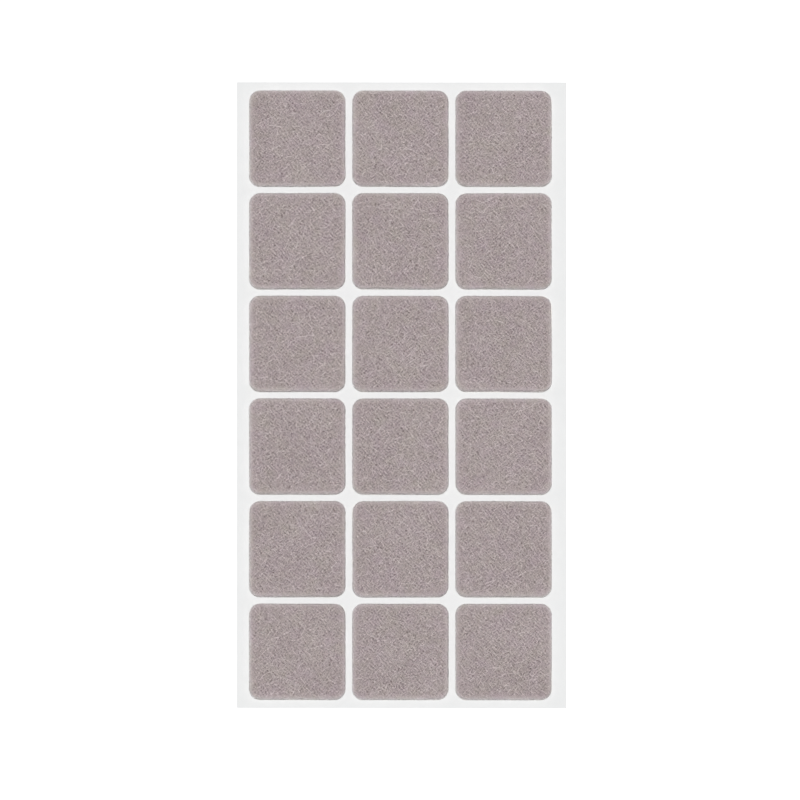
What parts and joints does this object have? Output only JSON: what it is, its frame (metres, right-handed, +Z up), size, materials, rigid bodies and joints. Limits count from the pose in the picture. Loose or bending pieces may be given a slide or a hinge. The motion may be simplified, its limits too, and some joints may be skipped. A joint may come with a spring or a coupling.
{
  "type": "felt furniture pad sheet",
  "caption": "Sheet of square self-adhesive felt furniture pads with round corners, kiss-cut in rows on a paper release liner; each pad peels off to stick under a leg.",
  "frame": {"origin": "centre of the release liner's underside", "axes": "+X across the sheet, to the right in the picture; +Y along it, towards the top row; +Z up out of the pads"},
  "size_m": [0.0856, 0.1628, 0.0033],
  "materials": {
    "felt": "taupe needle felt",
    "adhesive": "milky tacky film",
    "liner": "white silicone-coated paper"
  },
  "bodies": {
    "liner": {"release_liner": "liner"},
    "pad_r1c1": {"felt_pad_r1c1": "felt", "adhesive_film_r1c1": "adhesive"},
    "pad_r1c2": {"felt_pad_r1c2": "felt", "adhesive_film_r1c2": "adhesive"},
    "pad_r1c3": {"felt_pad_r1c3": "felt", "adhesive_film_r1c3": "adhesive"},
    "pad_r2c1": {"felt_pad_r2c1": "felt", "adhesive_film_r2c1": "adhesive"},
    "pad_r2c2": {"felt_pad_r2c2": "felt", "adhesive_film_r2c2": "adhesive"},
    "pad_r2c3": {"felt_pad_r2c3": "felt", "adhesive_film_r2c3": "adhesive"},
    "pad_r3c1": {"felt_pad_r3c1": "felt", "adhesive_film_r3c1": "adhesive"},
    "pad_r3c2": {"felt_pad_r3c2": "felt", "adhesive_film_r3c2": "adhesive"},
    "pad_r3c3": {"felt_pad_r3c3": "felt", "adhesive_film_r3c3": "adhesive"},
    "pad_r4c1": {"felt_pad_r4c1": "felt", "adhesive_film_r4c1": "adhesive"},
    "pad_r4c2": {"felt_pad_r4c2": "felt", "adhesive_film_r4c2": "adhesive"},
    "pad_r4c3": {"felt_pad_r4c3": "felt", "adhesive_film_r4c3": "adhesive"},
    "pad_r5c1": {"felt_pad_r5c1": "felt", "adhesive_film_r5c1": "adhesive"},
    "pad_r5c2": {"felt_pad_r5c2": "felt", "adhesive_film_r5c2": "adhesive"},
    "pad_r5c3": {"felt_pad_r5c3": "felt", "adhesive_film_r5c3": "adhesive"},
    "pad_r6c1": {"felt_pad_r6c1": "felt", "adhesive_film_r6c1": "adhesive"},
    "pad_r6c2": {"felt_pad_r6c2": "felt", "adhesive_film_r6c2": "adhesive"},
    "pad_r6c3": {"felt_pad_r6c3": "felt", "adhesive_film_r6c3": "adhesive"}
  },
  "joints": [
    {"name": "peel_r1c1", "type": "slide", "parent": "liner", "child": "pad_r1c1", "axis": [0, 0, 1], "range_m": [0, 0.015]},
    {"name": "peel_r1c2", "type": "slide", "parent": "liner", "child": "pad_r1c2", "axis": [0, 0, 1], "range_m": [0, 0.015]},
    {"name": "peel_r1c3", "type": "slide", "parent": "liner", "child": "pad_r1c3", "axis": [0, 0, 1], "range_m": [0, 0.015]},
    {"name": "peel_r2c1", "type": "slide", "parent": "liner", "child": "pad_r2c1", "axis": [0, 0, 1], "range_m": [0, 0.015]},
    {"name": "peel_r2c2", "type": "slide", "parent": "liner", "child": "pad_r2c2", "axis": [0, 0, 1], "range_m": [0, 0.015]},
    {"name": "peel_r2c3", "type": "slide", "parent": "liner", "child": "pad_r2c3", "axis": [0, 0, 1], "range_m": [0, 0.015]},
    {"name": "peel_r3c1", "type": "slide", "parent": "liner", "child": "pad_r3c1", "axis": [0, 0, 1], "range_m": [0, 0.015]},
    {"name": "peel_r3c2", "type": "slide", "parent": "liner", "child": "pad_r3c2", "axis": [0, 0, 1], "range_m": [0, 0.015]},
    {"name": "peel_r3c3", "type": "slide", "parent": "liner", "child": "pad_r3c3", "axis": [0, 0, 1], "range_m": [0, 0.015]},
    {"name": "peel_r4c1", "type": "slide", "parent": "liner", "child": "pad_r4c1", "axis": [0, 0, 1], "range_m": [0, 0.015]},
    {"name": "peel_r4c2", "type": "slide", "parent": "liner", "child": "pad_r4c2", "axis": [0, 0, 1], "range_m": [0, 0.015]},
    {"name": "peel_r4c3", "type": "slide", "parent": "liner", "child": "pad_r4c3", "axis": [0, 0, 1], "range_m": [0, 0.015]},
    {"name": "peel_r5c1", "type": "slide", "parent": "liner", "child": "pad_r5c1", "axis": [0, 0, 1], "range_m": [0, 0.015]},
    {"name": "peel_r5c2", "type": "slide", "parent": "liner", "child": "pad_r5c2", "axis": [0, 0, 1], "range_m": [0, 0.015]},
    {"name": "peel_r5c3", "type": "slide", "parent": "liner", "child": "pad_r5c3", "axis": [0, 0, 1], "range_m": [0, 0.015]},
    {"name": "peel_r6c1", "type": "slide", "parent": "liner", "child": "pad_r6c1", "axis": [0, 0, 1], "range_m": [0, 0.015]},
    {"name": "peel_r6c2", "type": "slide", "parent": "liner", "child": "pad_r6c2", "axis": [0, 0, 1], "range_m": [0, 0.015]},
    {"name": "peel_r6c3", "type": "slide", "parent": "liner", "child": "pad_r6c3", "axis": [0, 0, 1], "range_m": [0, 0.015]}
  ]
}
